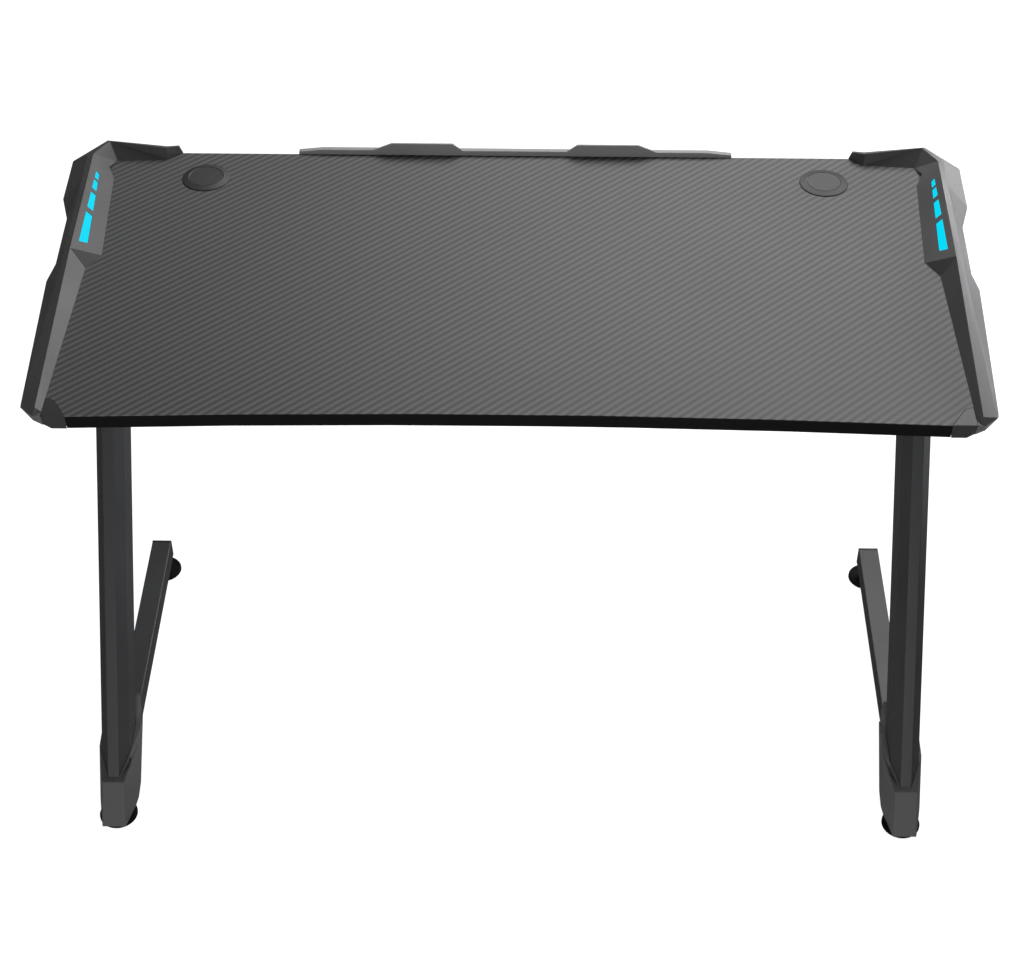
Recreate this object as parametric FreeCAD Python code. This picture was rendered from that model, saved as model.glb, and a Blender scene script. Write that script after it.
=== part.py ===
import FreeCAD, Part
import math
import os

# Desk: the box that the whole piece of furniture fills
desk_width = 1212.0
desk_depth = 580.0
desk_height = 750.0

# Gaps shared by the pieces
clearance = 0.2
running_gap = 0.3
overrun = 5.0

# Desktop: board, laminate and front edge band
board_thickness = 17.2
laminate_thickness = 0.8
board_side_inset = 43.0
board_back_inset = 8.0
board_corner_cut = 18.0
front_inset = 6.0
front_bow = 12.0
band_thickness = 2.0

# Front corner caps, which close the board's cut corners beside the band
cap_width = 29.0
cap_run = 18.5
cap_inner_depth = 29.0
cap_depth = 33.0
cap_side_reach = 7.0
cap_bottom_run = 18.0

# Side covers: places are shares of the half width, of the depth from the front, and of the ridge height
ridge_height = 25.0
cover_wall = 2.5
cover_drop = 0.8
tip_base_shares = (0.7492, 0.9867, 0.0)
tip_ridge_shares = (0.7556, 0.9840, 0.44)
tip_strip_shares = (0.7568, 0.9905, 0.42)
tip_side_shares = (0.7508, 0.9957, -0.08)
shoulder_base_shares = (0.7799, 0.9584, 0.0)
shoulder_ridge_shares = (0.7820, 0.9688, 0.56)
shoulder_strip_shares = (0.7814, 0.9790, 0.53)
shoulder_side_shares = (0.7673, 0.9931, -0.08)
corner_base_shares = (0.8911, 0.9483, 0.0)
corner_ridge_shares = (0.9097, 0.9822, 0.78)
corner_strip_shares = (0.9158, 0.9890, 0.72)
corner_side_shares = (0.9274, 0.9931, -0.24)
lamp_rear_base_shares = (0.9026, 0.9103, 0.0)
lamp_rear_ridge_shares = (0.9370, 0.9250, 0.0)
lamp_rear_strip_shares = (0.9505, 0.9293, 0.68)
bulge_rear_shares = (1.0, 0.9793, -0.48)
lamp_base_rear_shares = (0.8876, 0.8741, 0.0)
lamp_base_front_shares = (0.8635, 0.5655, 0.0)
peak_shares = (0.9180, 0.5302, 1.0)
peak_strip_shares = (0.9317, 0.5414, 0.86)
bulge_front_shares = (0.9934, 0.8172, -0.48)
waist_rear_shares = (0.9711, 0.7379, -0.48)
waist_front_shares = (0.9620, 0.5448, -0.48)
second_bulge_shares = (0.9703, 0.4948, -0.48)
second_strip_shares = (0.9313, 0.5000, 0.80)
face_base_shares = (0.8894, 0.5155, 0.0)
front_base_shares = (0.8894, 0.0241, 0.0)
front_ridge_shares = (0.8987, 0.0200, 0.0)
front_strip_shares = (0.9266, 0.0457, 0.14)
front_side_shares = (0.9411, 0.0724, -0.48)
nose_base_shares = (0.8894, 0.0116, 0.0)
nose_lip_shares = (0.9026, 0.0069, 0.04)
nose_corner_shares = (0.9300, 0.0310, 0.10)
nose_low_base_shares = (0.8894, 0.0212, 0.0)
nose_low_side_shares = (0.9112, 0.0348, 0.0)
ring_rear_share = 0.13
bulge_ring_share = 0.27
waist_ring_share = 0.47
shoulder_turn = 90.0
corner_turn = 72.0
lamp_turn = 20.0

# Screw bosses inside each cover, as shares of the half width and the depth
boss_radius = 4.0
cover_screw_radius = 1.6
cover_screw_bite = 6.0
cover_screw_head_radius = 3.6
cover_screw_head = 2.6
boss_shares = ((0.9035, 0.14), (0.9075, 0.34), (0.8300, 0.9715))

# Lamps: windows in the sloping face, diffuser, light board
window_shares = ((0.060, 0.405), (0.465, 0.675), (0.725, 0.845), (0.870, 0.960))
window_low = 20.7
window_high_front = 33.2
window_high_rear = 25.5
window_slant = 4.0
window_front_slants = (-5.0, 4.0, 4.0, 4.0)
lens_recess = 0.4
diffuser_plate = 1.5
diffuser_margin = 2.0
light_gap = 2.0
light_board_thickness = 1.0
light_board_low = 10.5
light_board_high = 31.0
light_chip = 3.0
light_chip_share = 0.5

# Cable hole fittings with lift-off lids
grommet_side_inset = 192.0
grommet_back_inset = 70.0
sleeve_bore_radius = 26.0
sleeve_wall = 1.8
sleeve_flange_radius = 30.0
sleeve_flange = 1.2
sleeve_drop = 4.0
lid_radius = 32.0
lid_top_radius = 23.8
lid_height = 3.0
lid_edge = 1.1

# Raised trim along the back edge
trim_half_length = 295.0
trim_thickness = 8.0
trim_rise = 7.0
trim_end_rise = 3.5
trim_end_run = 33.0
trim_drop = 14.0
hump_inner = 85.0
hump_inner_foot = 71.0
hump_outer = 168.0
hump_outer_foot = 193.0
hump_rise = 17.5
hump_thickness = 3.0
trim_screw_radius = 2.0
trim_screw_head_radius = 4.0
trim_screw_head = 2.4
trim_screw_bite = 22.0
trim_screw_low = 7.0
trim_screw_places = (45.0, 230.0)

# Legs: foot rail, leaning column and top rail
leg_inset = 53.0
rail_width = 30.0
rail_height = 30.0
rail_wall = 1.5
top_rail_front_inset = 125.0
top_rail_back_inset = 13.0
column_back_inset = 9.0
foot_rail_back_inset = 46.0
foot_rail_splay = 0.0145
foot_height = 25.0
column_width = 39.0
column_run = 96.0
column_wall = 1.8
column_flat = 15.0
column_chamfer_run = 20.0
plug_plate = 3.0
plug_depth = 9.0

# Boots over the joint of column and foot rail
boot_bottom = 8.0
boot_face = 4.0
boot_half_width = 27.5
boot_flat = 32.0
boot_chamfer_run = 49.0
boot_low_run = 65.0
boot_sole_run = 37.0
boot_sole_rake = 0.245
boot_shoulder = 62.0
boot_collar_lip = 1.5
boot_notch_height = 64.0
boot_collar_rise = 17.0
boot_middle_run = 74.0
boot_tongue = 42.0
boot_rake = 0.24
boot_rear_rake = 1.06
boot_wall = 3.0
boot_cavity_height = 40.0

# Levelling feet and their threaded bushes
foot_pad_radius = 26.5
foot_pad = 7.5
foot_pad_edge = 1.2
foot_hub_radius = 9.0
foot_stem_radius = 4.0
foot_stem_rise = 12.0
foot_front_inset = 29.0
foot_front_offset = 2.0
foot_rear_inset = 55.0
bush_radius = 6.0
bush_length = 10.0

# Cross beams between the top rails
beam_width = 30.0
beam_front_inset = 178.0
beam_rear_gap = 30.0
end_plate = 4.0
end_plate_length = 90.0
beam_bolt_radius = 3.0
beam_bolt_spread = 32.0
beam_bolt_head_radius = 5.0
beam_bolt_head = 4.0
beam_nut = 5.0
beam_bolt_tail = 2.0

# Bolts that hold the board to the top rails
top_bolt_radius = 3.0
top_bolt_bite = 11.0
top_bolt_head_radius = 6.0
top_bolt_head = 3.5
insert_radius = 5.0
insert_length = 12.0
top_bolt_shares = (0.08, 0.36, 0.70)

# Lamp controller under the board, its button and its inlet
box_length = 90.0
box_depth = 56.0
box_height = 27.0
box_wall = 2.0
box_side_inset = 276.0
box_ear = 14.0
box_ear_thickness = 3.0
box_screw_radius = 1.8
box_screw_head_radius = 3.8
box_screw_head = 2.4
box_screw_bite = 10.0
circuit_margin = 4.0
circuit_thickness = 1.6
circuit_drop = 8.0
circuit_post_radius = 3.0
switch_size = 7.0
button_radius = 5.0
button_length = 7.0
button_flange = 1.6
button_flange_radius = 6.5
button_travel = 1.0
button_place_share = 0.25
inlet_radius = 5.5
inlet_bore_radius = 3.2
inlet_pin_radius = 1.0
inlet_length = 12.0
inlet_flange_radius = 7.0
inlet_flange = 2.0

# Leads from the controller to the lamps, and their clips
lead_radius = 1.8
lead_drop = 12.0
lead_hole_radius = 3.0
lead_along = 24.0
lead_up = 12.6
clip_width = 8.0
clip_depth = 12.0
clip_floor = 2.0
left_clip_shares = (0.06, 0.24, 0.42, 0.60, 0.78, 0.95)
right_clip_shares = (0.25, 0.80)

# Levels and places that follow from the sizes above
half_width = desk_width / 2
front_y = -desk_depth / 2
back_y = desk_depth / 2
board_top = desk_height - laminate_thickness
board_bottom = board_top - board_thickness
board_end = half_width - board_side_inset
board_back = back_y - board_back_inset
cover_bottom = board_bottom - cover_drop
top_rail_bottom = board_bottom - rail_height
foot_rail_top = foot_height + rail_height
leg_x = half_width - leg_inset
top_rail_front = front_y + top_rail_front_inset
top_rail_back = back_y - top_rail_back_inset
foot_rail_back = back_y - foot_rail_back_inset
column_back = back_y - column_back_inset
lean = (column_back - front_y - boot_face - column_run) / (top_rail_bottom - boot_bottom)
cap_outer_x = half_width * front_base_shares[0]
band_end = cap_outer_x - cap_width
band_end_y = front_y + front_inset
bow_radius = (band_end ** 2 + front_bow ** 2) / (2 * front_bow)
bow_center_y = band_end_y + front_bow - bow_radius
grommet_x = half_width - grommet_side_inset
grommet_y = back_y - grommet_back_inset

up = FreeCAD.Vector(0, 0, 1)
right = FreeCAD.Vector(1, 0, 0)
back = FreeCAD.Vector(0, 1, 0)


def box(x0, x1, y0, y1, z0, z1):
    return Part.makeBox(x1 - x0, y1 - y0, z1 - z0, FreeCAD.Vector(x0, y0, z0))


def cylinder(radius, base, direction, length):
    return Part.makeCylinder(radius, length, base, direction)


def flat_face(points):
    return Part.Face(Part.makePolygon(points + points[:1]))


def mirrored(shape):
    return shape.mirror(FreeCAD.Vector(0, 0, 0), right)


def group(shapes):
    return Part.Compound([solid for shape in shapes for solid in shape.Solids])


def export(name, shape):
    shape.exportStep("parts/" + name + ".step")


def export_pair(name, shape):
    export(name + "_right", shape)
    export(name + "_left", mirrored(shape))


def column_front(z):
    """Depth of the column's front face at height z."""
    return front_y + boot_face + lean * (z - boot_bottom)


def edge_y(x, offset):
    """Depth of the bowed front edge, moved back by offset."""
    return bow_center_y + math.sqrt((bow_radius + offset) ** 2 - x ** 2)


def bowed_edge(x0, x1, offset, z):
    ends = [FreeCAD.Vector(x, edge_y(x, offset), z) for x in (x0, (x0 + x1) / 2, x1)]
    return Part.Arc(*ends).toShape()


def path_edges(points):
    return [Part.LineSegment(a, b).toShape() for a, b in zip(points, points[1:])]


# Side cover: a faceted moulding whose rings run from the wing tip to the nose


def spot(shares):
    x_share, y_share, z_share = shares
    x = half_width * x_share
    y = front_y + desk_depth * y_share
    return FreeCAD.Vector(x, y, desk_height + ridge_height * z_share)


def between(start, end, share):
    return start + (end - start) * share


def on_plane(point, origin, normal):
    """The point above or below a place that lies on a plane."""
    run = (point.x - origin.x) * normal.x + (point.y - origin.y) * normal.y
    return FreeCAD.Vector(point.x, point.y, origin.z - run / normal.z)


def upward_normal(origin, first, second):
    normal = (first - origin).cross(second - origin)
    normal.normalize()
    return normal if normal.z > 0 else normal * -1


peak = spot(peak_shares)
lamp_origin = spot(lamp_base_front_shares)
lamp_rear = spot(lamp_base_rear_shares)
lamp_normal = upward_normal(lamp_origin, lamp_rear, peak)
lamp_length = (lamp_rear - lamp_origin).Length
lamp_along = (lamp_rear - lamp_origin) * (1 / lamp_length)
lamp_rise = lamp_normal.cross(lamp_along)
if lamp_rise.z < 0:
    lamp_rise = lamp_rise * -1
lamp_rear_base = on_plane(spot(lamp_rear_base_shares), lamp_origin, lamp_normal)
lamp_rear_ridge = on_plane(spot(lamp_rear_ridge_shares), lamp_origin, lamp_normal)
face_base = spot(face_base_shares)
front_base = spot(front_base_shares)
face_normal = upward_normal(face_base, front_base, peak)
front_ridge = on_plane(spot(front_ridge_shares), face_base, face_normal)
nose_base = spot(nose_base_shares)
nose_lip = spot(nose_lip_shares)
nose_corner = spot(nose_corner_shares)
shoulder_base = spot(shoulder_base_shares)
tip_base = spot(tip_base_shares)


def lamp_ring(share, side_point):
    """A ring across the lamp face, a share of the way from its rear end to its front end."""
    base = between(lamp_rear, lamp_origin, share)
    ridge = between(lamp_rear_ridge, peak, share)
    strip = between(spot(lamp_rear_strip_shares), spot(peak_strip_shares), share)
    return (base, ridge, strip, side_point)


bulge_rear = spot(bulge_rear_shares)
bulge_front = spot(bulge_front_shares)
tip_line = (tip_base, spot(tip_ridge_shares), spot(tip_strip_shares), spot(tip_side_shares))
lamp_end_line = lamp_ring(0, bulge_rear)
cover_lines = (
    (shoulder_base, spot(shoulder_ridge_shares), spot(shoulder_strip_shares), spot(shoulder_side_shares)),
    (spot(corner_base_shares), spot(corner_ridge_shares),
     spot(corner_strip_shares), spot(corner_side_shares)),
    (lamp_rear_base, lamp_rear_ridge, spot(lamp_rear_strip_shares), bulge_rear),
    lamp_ring(ring_rear_share, between(bulge_rear, bulge_front, ring_rear_share / bulge_ring_share)),
    lamp_ring(bulge_ring_share, bulge_front),
    lamp_ring(waist_ring_share, spot(waist_rear_shares)),
    (lamp_origin, peak, spot(peak_strip_shares), spot(waist_front_shares)),
    (face_base, peak, spot(second_strip_shares), spot(second_bulge_shares)),
    (front_base, front_ridge, spot(front_strip_shares), spot(front_side_shares)),
)
cover_turns = (shoulder_turn, corner_turn, lamp_turn) + (0.0,) * (len(cover_lines) - 3)
outer_lines = (tip_line,) + cover_lines[:3] + (lamp_end_line,) + cover_lines[3:]


def lowered(point, z):
    return FreeCAD.Vector(point.x, point.y, z)


def closed_ring(line, z):
    return [lowered(line[0], z)] + list(line) + [lowered(line[-1], z)]


def inset_ring(ring, turn, wall):
    """The ring moved inwards by a wall, in the upright plane that faces along turn degrees."""
    angle = math.radians(turn)
    outward = FreeCAD.Vector(math.cos(angle), math.sin(angle), 0)
    places = [((point - ring[1]).dot(outward), point.z) for point in ring]
    lines = []
    for (u0, z0), (u1, z1) in zip(places, places[1:]):
        size = math.hypot(u1 - u0, z1 - z0)
        du = (u1 - u0) / size
        dz = (z1 - z0) / size
        lines.append((u0 + dz * wall, z0 - du * wall, du, dz))
    moved = [(lines[0][0], places[0][1])]
    for (u0, z0, du0, dz0), (u1, z1, du1, dz1) in zip(lines, lines[1:]):
        cross = du0 * dz1 - dz0 * du1
        step = ((u1 - u0) * dz1 - (z1 - z0) * du1) / cross
        moved.append((u0 + step * du0, z0 + step * dz0))
    moved.append((lines[-1][0], places[-1][1]))
    inner = []
    for point, (u0, z0), (u1, z1) in zip(ring, places, moved):
        inner.append(point + outward * (u1 - u0) + up * (z1 - z0))
    return inner


def skin(rings):
    """A closed solid of flat facets over a row of rings with equally many points."""
    facets = []
    for first, second in zip(rings, rings[1:]):
        for i in range(len(first)):
            j = (i + 1) % len(first)
            facets.append((first[i], first[j], second[j]))
            facets.append((first[i], second[j], second[i]))
    for ring in (rings[0], rings[-1]):
        turned = ring[1:] + ring[:1]
        for i in range(1, len(turned) - 1):
            facets.append((turned[0], turned[i], turned[i + 1]))
    faces = []
    for facet in facets:
        area = (facet[1] - facet[0]).cross(facet[2] - facet[0]).Length
        if area > clearance ** 2:
            faces.append(flat_face(list(facet)))
    shell = Part.Shell(faces)
    shell.sewShape()
    solid = Part.Solid(shell)
    if solid.Volume < 0:
        solid.reverse()
    return solid


def board_outline(offset, z):
    """Outline of the board, grown by offset, as one face."""
    corner_y = band_end_y + cap_depth + clearance - offset
    side = board_end + offset
    start_y = edge_y(band_end, band_thickness)
    edges = [bowed_edge(-band_end, band_end, band_thickness, z)]
    right_side = [
        FreeCAD.Vector(band_end, start_y, z),
        FreeCAD.Vector(band_end + cap_run, band_end_y + cap_inner_depth + clearance - offset, z),
        FreeCAD.Vector(front_base.x, corner_y, z),
        FreeCAD.Vector(side - board_corner_cut, corner_y, z),
        FreeCAD.Vector(side, corner_y + board_corner_cut, z),
        FreeCAD.Vector(side, board_back + offset, z),
    ]
    left_side = [FreeCAD.Vector(-point.x, point.y, z) for point in reversed(right_side)]
    edges += path_edges(right_side + left_side)
    return Part.Face(Part.Wire(edges))


def boss_place(shares):
    x_share, y_share = shares
    return half_width * x_share, front_y + desk_depth * y_share


def window(number, grow, low, high):
    """A slanted window prism between two levels below and above the lamp face."""
    corners = []
    slants = (window_front_slants[number], window_slant)
    for share, slant, move in zip(window_shares[number], slants, (-grow, grow)):
        along = lamp_length * share
        top = window_high_front + (window_high_rear - window_high_front) * share
        corners.append((along + move, window_low - grow))
        corners.append((along + move + slant, top + grow))
    order = (corners[0], corners[1], corners[3], corners[2])
    points = [lamp_point(along, rise, low) for along, rise in order]
    return flat_face(points).extrude(lamp_normal * (high - low))


def lamp_point(along, rise, level):
    return lamp_origin + lamp_along * along + lamp_rise * rise + lamp_normal * level


def lamp_plate(along0, along1, rise0, rise1, low, high):
    corners = ((along0, rise0), (along1, rise0), (along1, rise1), (along0, rise1))
    points = [lamp_point(along, rise, low) for along, rise in corners]
    return flat_face(points).extrude(lamp_normal * (high - low))


def make_side_cover():
    rings = [closed_ring(line, cover_bottom) for line in outer_lines]
    low_base = lowered(spot(nose_low_base_shares), cover_bottom)
    low_side = lowered(spot(nose_low_side_shares), cover_bottom)
    nose = [low_base, nose_base, nose_lip, nose_corner, nose_corner, low_side]
    body = skin(rings + [nose, [low_side] * len(nose)])
    low = cover_bottom - overrun
    cores = [inset_ring(closed_ring(line, low), turn, cover_wall)
             for line, turn in zip(cover_lines, cover_turns)]
    cores[0] = [point + right * cover_wall for point in cores[0]]
    cores[-1] = [point + back * cover_wall for point in cores[-1]]
    cavity = skin(cores)
    cover = body.cut(cavity)
    for shares in boss_shares:
        x, y = boss_place(shares)
        boss = cylinder(boss_radius, FreeCAD.Vector(x, y, board_top), up, ridge_height * 2)
        cover = cover.fuse(boss.common(body))
    board_room = board_outline(clearance, low).extrude(up * (board_top - low))
    cover = cover.cut(board_room)
    for shares in boss_shares:
        x, y = boss_place(shares)
        pilot = cylinder(cover_screw_radius + clearance, FreeCAD.Vector(x, y, board_bottom), up,
                         board_thickness + cover_screw_bite + clearance)
        cover = cover.cut(pilot)
    for number in range(len(window_shares)):
        cover = cover.cut(window(number, 0, -cover_wall * 2, overrun))
    return cover.removeSplitter()


def make_cover_screw(shares):
    x, y = boss_place(shares)
    place = FreeCAD.Vector(x, y, board_bottom)
    shank = cylinder(cover_screw_radius, place, up, board_thickness + cover_screw_bite)
    head = cylinder(cover_screw_head_radius, place, up, cover_screw_head)
    return shank.fuse(head).removeSplitter()


def make_diffuser():
    top = -cover_wall - clearance
    first = lamp_length * window_shares[0][0] + window_front_slants[0] - diffuser_margin
    last = lamp_length * window_shares[-1][1] + window_slant + diffuser_margin
    plate = lamp_plate(first, last, window_low - diffuser_margin, window_high_rear, top - diffuser_plate, top)
    for number in range(len(window_shares)):
        plate = plate.fuse(window(number, -clearance, top - diffuser_plate, -lens_recess))
    return plate.removeSplitter()


def make_light_board():
    top = -cover_wall - clearance - diffuser_plate - light_gap
    first = lamp_length * window_shares[0][0]
    last = lamp_length * window_shares[-1][1]
    plate = lamp_plate(first, last, light_board_low, light_board_high, top - light_board_thickness, top)
    chips = []
    for start, end in window_shares:
        along = lamp_length * (start + end) / 2
        rise = window_low + light_chip * light_chip_share
        chips.append(lamp_plate(along - light_chip / 2, along + light_chip / 2, rise, rise + light_chip,
                                top, top + light_gap - clearance))
    return group([plate] + chips)


# Desktop board with its holes, the laminate over it, the edge band and the corner caps


def grommet_spot(side, z):
    return FreeCAD.Vector(side * grommet_x, grommet_y, z)


def lead_hole_spot(z):
    place = lamp_point(lead_along, lead_up, 0)
    return FreeCAD.Vector(place.x, place.y, z)


def make_board():
    board = board_outline(0, board_bottom).extrude(up * board_thickness)
    low = board_bottom - overrun
    depth = board_thickness + overrun * 2
    cuts = []
    for side in (-1, 1):
        cuts.append(cylinder(sleeve_bore_radius + sleeve_wall + clearance,
                             grommet_spot(side, low), up, depth))
    right_cuts = [cylinder(lead_hole_radius, lead_hole_spot(low), up, depth)]
    for shares in boss_shares:
        x, y = boss_place(shares)
        right_cuts.append(cylinder(cover_screw_radius + clearance, FreeCAD.Vector(x, y, low), up, depth))
        right_cuts.append(cylinder(cover_screw_head_radius + clearance, FreeCAD.Vector(x, y, low), up,
                                   overrun + cover_screw_head + clearance))
    for y in top_bolt_places():
        right_cuts.append(cylinder(insert_radius + clearance, FreeCAD.Vector(leg_x, y, low), up,
                                   overrun + insert_length + clearance))
    for x in trim_screw_places:
        place = FreeCAD.Vector(x, board_back - trim_screw_bite, trim_screw_z())
        right_cuts.append(cylinder(trim_screw_radius + clearance, place, back, trim_screw_bite + overrun))
    for cut in right_cuts:
        cuts.append(cut)
        cuts.append(mirrored(cut))
    for x in box_ear_places():
        cuts.append(cylinder(box_screw_radius + clearance, FreeCAD.Vector(x, box_screw_y(), low), up,
                             overrun + box_screw_bite))
    return board.cut(cuts)


def make_laminate():
    """The patterned sheet on the board, up to the covers and caps, with the two cable holes."""
    inner = clearance
    z = board_top
    points = [
        FreeCAD.Vector(band_end, band_end_y, z),
        FreeCAD.Vector(band_end + cap_run - inner, band_end_y + cap_inner_depth + inner, z),
        FreeCAD.Vector(front_base.x - inner, band_end_y + cap_depth + inner, z),
        FreeCAD.Vector(face_base.x - inner, face_base.y, z),
    ]
    for point in (lamp_origin, lamp_rear, lamp_rear_base, spot(corner_base_shares), shoulder_base):
        points.append(FreeCAD.Vector(point.x - inner, point.y - inner, z))
    wing_share = (board_back - shoulder_base.y) / (tip_base.y - shoulder_base.y)
    wing_end = between(shoulder_base, tip_base, wing_share)
    points.append(FreeCAD.Vector(wing_end.x - inner * 2, board_back, z))
    left = [FreeCAD.Vector(-point.x, point.y, z) for point in reversed(points)]
    edges = [bowed_edge(-band_end, band_end, 0, z)] + path_edges(points + left)
    sheet = Part.Face(Part.Wire(edges)).extrude(up * laminate_thickness)
    for side in (-1, 1):
        start = grommet_spot(side, z - overrun)
        sheet = sheet.cut(cylinder(lid_radius + running_gap, start, up, overrun * 2))
    return sheet


def make_edge_band():
    inner_y = edge_y(band_end, band_thickness)
    edges = [
        bowed_edge(-band_end, band_end, 0, board_bottom),
        Part.LineSegment(FreeCAD.Vector(band_end, band_end_y, board_bottom),
                         FreeCAD.Vector(band_end, inner_y, board_bottom)).toShape(),
        bowed_edge(band_end, -band_end, band_thickness, board_bottom),
        Part.LineSegment(FreeCAD.Vector(-band_end, inner_y, board_bottom),
                         FreeCAD.Vector(-band_end, band_end_y, board_bottom)).toShape(),
    ]
    return Part.Face(Part.Wire(edges)).extrude(up * board_thickness)


def make_corner_cap():
    inner_x = band_end + clearance
    outer_x = front_base.x - clearance
    back_edge = band_end_y + cap_depth
    inner_back = FreeCAD.Vector(inner_x + cap_run, band_end_y + cap_inner_depth, desk_height)
    front_inner = FreeCAD.Vector(inner_x, band_end_y, desk_height)
    front_outer = FreeCAD.Vector(outer_x, band_end_y, desk_height)
    back_outer = FreeCAD.Vector(outer_x, back_edge, desk_height)
    low_turn = FreeCAD.Vector(inner_x + cap_bottom_run, band_end_y, cover_bottom)
    low_outer = FreeCAD.Vector(outer_x, band_end_y + cap_side_reach, cover_bottom)
    top = [front_inner, front_outer, front_outer, back_outer, inner_back]
    bottom = [lowered(front_inner, cover_bottom), low_turn, low_outer,
              lowered(back_outer, cover_bottom), lowered(inner_back, cover_bottom)]
    return skin([top, bottom]).removeSplitter()


# Cable hole fittings


def revolved(profile, place):
    points = [FreeCAD.Vector(radius, 0, height) for radius, height in profile]
    ring = flat_face(points).revolve(FreeCAD.Vector(0, 0, 0), up, 360)
    ring.translate(place)
    return ring


def make_sleeve(side):
    outer = sleeve_bore_radius + sleeve_wall
    profile = (
        (sleeve_bore_radius, -board_thickness - sleeve_drop),
        (outer, -board_thickness - sleeve_drop),
        (outer, 0),
        (sleeve_flange_radius, 0),
        (sleeve_flange_radius, sleeve_flange),
        (sleeve_bore_radius, sleeve_flange),
    )
    return revolved(profile, grommet_spot(side, board_top))


def make_lid(side):
    """A cap whose rim reaches down around the sleeve's flange."""
    rim = sleeve_flange_radius + running_gap
    seat = sleeve_flange + running_gap
    top = laminate_thickness + lid_height
    profile = (
        (0, seat),
        (rim, seat),
        (rim, running_gap),
        (lid_radius, running_gap),
        (lid_radius, laminate_thickness + lid_edge),
        (lid_top_radius, top),
        (0, top),
    )
    return revolved(profile, grommet_spot(side, board_top))


# Raised trim on the back edge: a low bar with two thin humps on its front face


def trim_screw_z():
    return board_top - trim_screw_low


def make_trim():
    low = desk_height - trim_drop
    end = trim_half_length
    bar_line = [(end, trim_end_rise), (end - trim_end_run, trim_rise)]
    bar = [(-x, rise) for x, rise in bar_line] + [(x, rise) for x, rise in reversed(bar_line)]
    points = [FreeCAD.Vector(-end, board_back, low)]
    points += [FreeCAD.Vector(x, board_back, desk_height + rise) for x, rise in bar]
    points.append(FreeCAD.Vector(end, board_back, low))
    trim = flat_face(points).extrude(back * trim_thickness)
    hump_line = ((hump_inner_foot, low), (hump_inner_foot, desk_height + trim_rise),
                 (hump_inner, desk_height + hump_rise), (hump_outer, desk_height + hump_rise),
                 (hump_outer_foot, desk_height + trim_rise), (hump_outer_foot, low))
    hump = flat_face([FreeCAD.Vector(x, board_back, z) for x, z in hump_line]).extrude(back * hump_thickness)
    trim = trim.fuse([hump, mirrored(hump)])
    for place in trim_screw_spots():
        trim = trim.cut(cylinder(trim_screw_radius + clearance, place, back, trim_thickness + overrun))
        head_place = place + back * (trim_thickness - trim_screw_head - clearance)
        trim = trim.cut(cylinder(trim_screw_head_radius + clearance, head_place, back, overrun))
    return trim.removeSplitter()


def trim_screw_spots():
    places = [-x for x in trim_screw_places] + list(trim_screw_places)
    return [FreeCAD.Vector(x, board_back, trim_screw_z()) for x in places]


def make_trim_screw(place):
    shank_start = place - back * (trim_screw_bite - clearance)
    shank = cylinder(trim_screw_radius, shank_start, back, trim_screw_bite + trim_thickness - clearance)
    head_start = place + back * (trim_thickness - trim_screw_head)
    head = cylinder(trim_screw_head_radius, head_start, back, trim_screw_head)
    return shank.fuse(head).removeSplitter()


# Leg frame: rails are square tubes, the column is an eight-sided tube with level ends


def tube(outer_points, inner_points, direction):
    return flat_face(outer_points).extrude(direction).cut(flat_face(inner_points).extrude(direction))


def top_bolt_places():
    length = top_rail_back - top_rail_front
    return [top_rail_front + length * share for share in top_bolt_shares]


def beam_centers():
    rear = box_y() + box_depth / 2 + beam_rear_gap + beam_width / 2
    return (front_y + beam_front_inset, rear)


def beam_bolt_spots():
    z = top_rail_bottom + rail_height / 2
    rail_inner = leg_x - rail_width / 2
    spots = []
    for y in beam_centers():
        for move in (-beam_bolt_spread, beam_bolt_spread):
            spots.append(FreeCAD.Vector(rail_inner, y + move, z))
    return spots


def make_top_rail():
    half = rail_width / 2
    outer = box(leg_x - half, leg_x + half, top_rail_front, top_rail_back, top_rail_bottom, board_bottom)
    inner = box(leg_x - half + rail_wall, leg_x + half - rail_wall, top_rail_front - overrun,
                top_rail_back + overrun, top_rail_bottom + rail_wall, board_bottom - rail_wall)
    rail = outer.cut(inner)
    for y in top_bolt_places():
        place = FreeCAD.Vector(leg_x, y, top_rail_bottom - overrun)
        rail = rail.cut(cylinder(top_bolt_radius + clearance, place, up, rail_height + overrun * 2))
    for place in beam_bolt_spots():
        start = place - right * overrun
        rail = rail.cut(cylinder(beam_bolt_radius + clearance, start, right, rail_width / 2))
    return rail


def foot_rail_x(y):
    """The middle of the foot rail, which splays outwards towards the back."""
    return leg_x + foot_rail_splay * (y - front_y)


def foot_spots():
    """The front and the rear foot on the floor."""
    front = front_y + foot_front_inset
    rear = back_y - foot_rear_inset
    return (FreeCAD.Vector(foot_rail_x(front) - foot_front_offset, front, 0),
            FreeCAD.Vector(foot_rail_x(rear), rear, 0))


def foot_rail_block(half, places):
    """A bar along the foot rail; a place is a depth and a height in its side view."""
    side = [FreeCAD.Vector(foot_rail_x(y) - half, y, z) for y, z in places]
    return flat_face(side).extrude(right * half * 2)


def make_foot_rail():
    half = rail_width / 2
    low = foot_height
    high = foot_rail_top
    rail = foot_rail_block(half, ((column_front(low), low), (foot_rail_back, low),
                                  (foot_rail_back, high), (column_front(high), high)))
    open_end = foot_rail_back + overrun
    inside = ((front_y, low + rail_wall), (open_end, low + rail_wall),
              (open_end, high - rail_wall), (front_y, high - rail_wall))
    rail = rail.cut(foot_rail_block(half - rail_wall, inside))
    for spot in foot_spots():
        hole = spot + up * (low - overrun)
        rail = rail.cut(cylinder(bush_radius + clearance, hole, up, overrun + rail_wall * 2))
    return rail


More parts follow.
